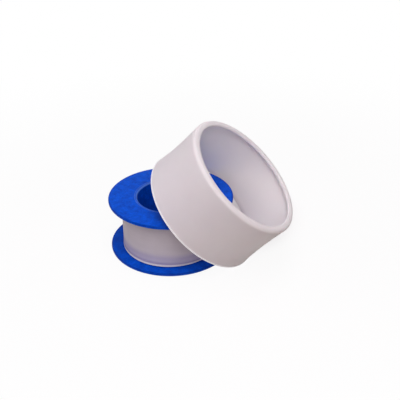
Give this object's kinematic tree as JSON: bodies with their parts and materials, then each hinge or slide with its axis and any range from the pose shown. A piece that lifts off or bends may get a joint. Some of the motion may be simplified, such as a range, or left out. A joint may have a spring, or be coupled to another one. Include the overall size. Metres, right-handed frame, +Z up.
{
  "type": "thread seal tape roll",
  "caption": "Roll of white thread seal tape on a flanged blue spool with a hub hole, its white slip-off cover ring leaning over the spool.",
  "frame": {"origin": "on the axis of the hub's hole, at the face of the lower flange that the spool stands on", "axes": "+Z up along the hub's hole, +X the way the cover ring leans"},
  "size_m": [0.074, 0.0526, 0.053],
  "materials": {
    "spool_plastic": "moulded, satin blue",
    "tape_film": "soft film, dull white",
    "cover_plastic": "moulded, satin white"
  },
  "bodies": {
    "spool": {"spool_body": "spool_plastic", "top_flange": "spool_plastic", "tape_core": "tape_film", "tape_outer_turn": "tape_film"},
    "cover": {"cover_ring": "cover_plastic"}
  },
  "joints": [
    {"name": "cover_slide", "type": "slide", "parent": "spool", "child": "cover", "axis": [0.6788, 0, 0.7343], "range_m": [0, 0.03]}
  ]
}
